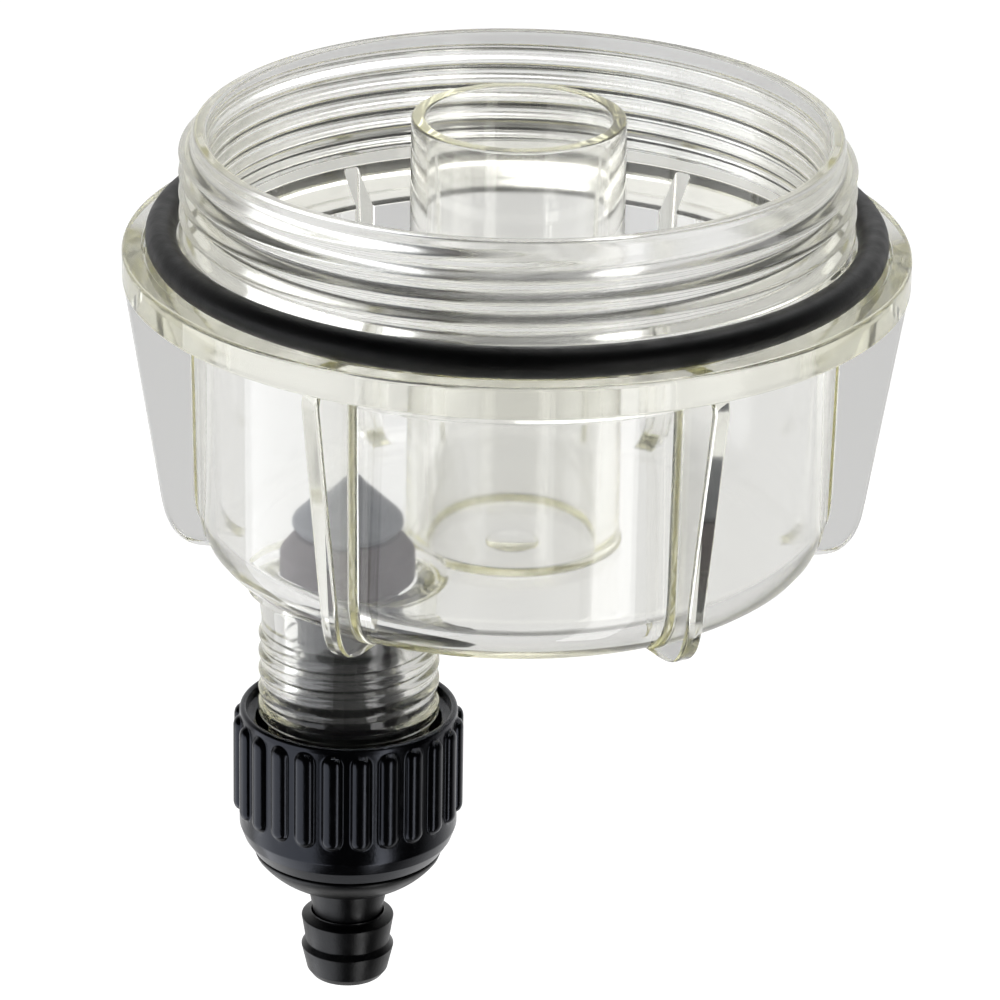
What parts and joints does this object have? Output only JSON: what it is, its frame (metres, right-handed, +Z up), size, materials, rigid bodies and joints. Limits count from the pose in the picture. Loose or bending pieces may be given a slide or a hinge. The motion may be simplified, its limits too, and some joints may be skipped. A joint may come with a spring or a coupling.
{
  "type": "water separator bowl",
  "caption": "Clear screw-on collection bowl of a spin-on filter, with seal ring, central standpipe and a screw-down drain valve with a barbed hose tail.",
  "frame": {"origin": "on the bowl's thread axis, in the plane of the flange's top face, which seats on the filter", "axes": "+Z up along the thread axis, out of the bowl's mouth; the drain hangs down parallel to it on the -Y side"},
  "size_m": [0.111, 0.111, 0.1268],
  "materials": {
    "clear_plastic": "clear, polished, slightly yellow at its edges",
    "ring_rubber": "satin",
    "black_plastic": "gloss, moulded",
    "tail_plastic": "satin, moulded",
    "stem_plastic": "satin",
    "seal_rubber": "matte",
    "tip_plastic": "satin",
    "spring_steel": "bright"
  },
  "bodies": {
    "bowl": {"bowl": "clear_plastic", "bowl_seal_ring": "ring_rubber"},
    "valve": {"valve_stem": "stem_plastic", "valve_seal": "seal_rubber", "valve_tip": "tip_plastic", "stem_o_ring": "ring_rubber", "hose_tail": "tail_plastic", "retaining_clip": "spring_steel"},
    "drain_nut": {"drain_nut": "black_plastic"}
  },
  "joints": [
    {"name": "valve_lift", "type": "slide", "parent": "bowl", "child": "valve", "axis": [0, 0, 1], "range_m": [0, 0.007]},
    {"name": "nut_turn", "type": "hinge", "parent": "valve", "child": "drain_nut", "pos_m": [0, -0.0265, -0.075], "axis": [0, 0, 1], "range_deg": [0, 900]}
  ],
  "couplings": [
    {"joint": "valve_lift", "follows": "nut_turn", "m_per_rad": 0.00044563}
  ]
}
